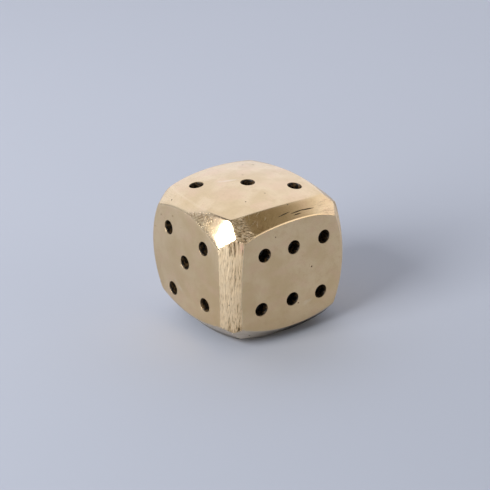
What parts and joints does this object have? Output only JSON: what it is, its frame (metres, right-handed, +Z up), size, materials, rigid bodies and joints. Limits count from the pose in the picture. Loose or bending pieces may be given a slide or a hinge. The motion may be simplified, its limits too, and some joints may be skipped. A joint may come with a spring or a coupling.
{
  "type": "die",
  "caption": "Solid brass six-sided die with domed faces, hand-filed barrel chamfers and drilled spots lined with black enamel.",
  "frame": {"origin": "centre of the flat patch under the four, on the surface that the die stands on", "axes": "+Z up through the three, -Y through the six, -X through the five"},
  "size_m": [0.0406, 0.0395, 0.0394],
  "materials": {
    "brass": "sanded satin faces, coarse file marks on the chamfers",
    "black_enamel": "brushed-in gloss black, worn thin near the rim"
  },
  "bodies": {
    "root": {"body": "brass", "enamel_1_1": "black_enamel", "enamel_2_1": "black_enamel", "enamel_2_2": "black_enamel", "enamel_3_1": "black_enamel", "enamel_3_2": "black_enamel", "enamel_3_3": "black_enamel", "enamel_4_1": "black_enamel", "enamel_4_2": "black_enamel", "enamel_4_3": "black_enamel", "enamel_4_4": "black_enamel", "enamel_5_1": "black_enamel", "enamel_5_2": "black_enamel", "enamel_5_3": "black_enamel", "enamel_5_4": "black_enamel", "enamel_5_5": "black_enamel", "enamel_6_1": "black_enamel", "enamel_6_2": "black_enamel", "enamel_6_3": "black_enamel", "enamel_6_4": "black_enamel", "enamel_6_5": "black_enamel", "enamel_6_6": "black_enamel"}
  },
  "joints": []
}
